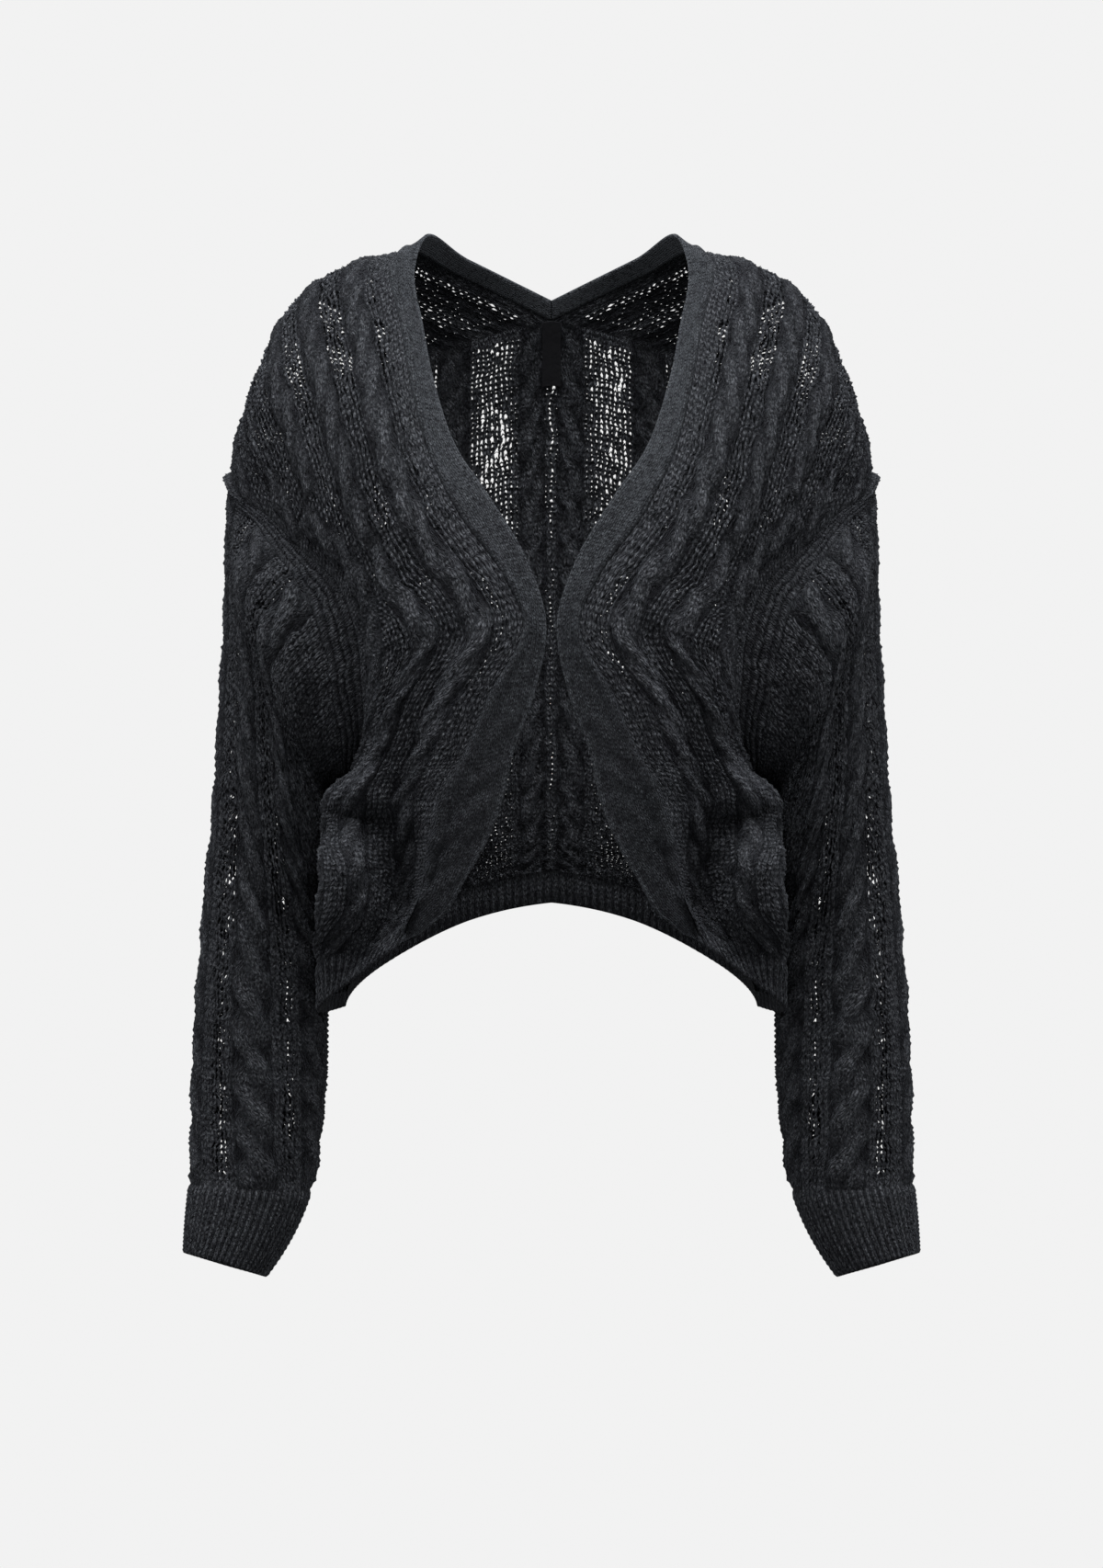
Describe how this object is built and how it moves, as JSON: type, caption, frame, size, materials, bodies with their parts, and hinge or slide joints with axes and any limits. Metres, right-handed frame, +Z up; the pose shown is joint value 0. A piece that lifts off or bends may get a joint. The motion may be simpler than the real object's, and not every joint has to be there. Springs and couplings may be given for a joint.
{
  "type": "cable knit cardigan",
  "caption": "Cropped open-front cable knit cardigan in the hollow shape it has when worn, with dropped wide sleeves, ribbed hem and cuffs and a plain knitted front band.",
  "frame": {"origin": "midway between the two points where neck and shoulder meet, which is where a wearer's shoulders hold the garment", "axes": "+Z up, -Y towards the front, +X towards the wearer's left"},
  "size_m": [0.482, 0.2427, 0.6823],
  "materials": {
    "knit": "matt charcoal cotton blend yarn with a light fuzz",
    "tab": "flat black woven tape"
  },
  "bodies": {
    "root": {"back": "knit", "band_left": "knit", "band_right": "knit", "cuff_left": "knit", "cuff_right": "knit", "front_left": "knit", "front_right": "knit", "hem_back": "knit", "hem_front_left": "knit", "hem_front_right": "knit", "neck_tab": "tab", "sleeve_left": "knit", "sleeve_right": "knit"}
  },
  "joints": []
}
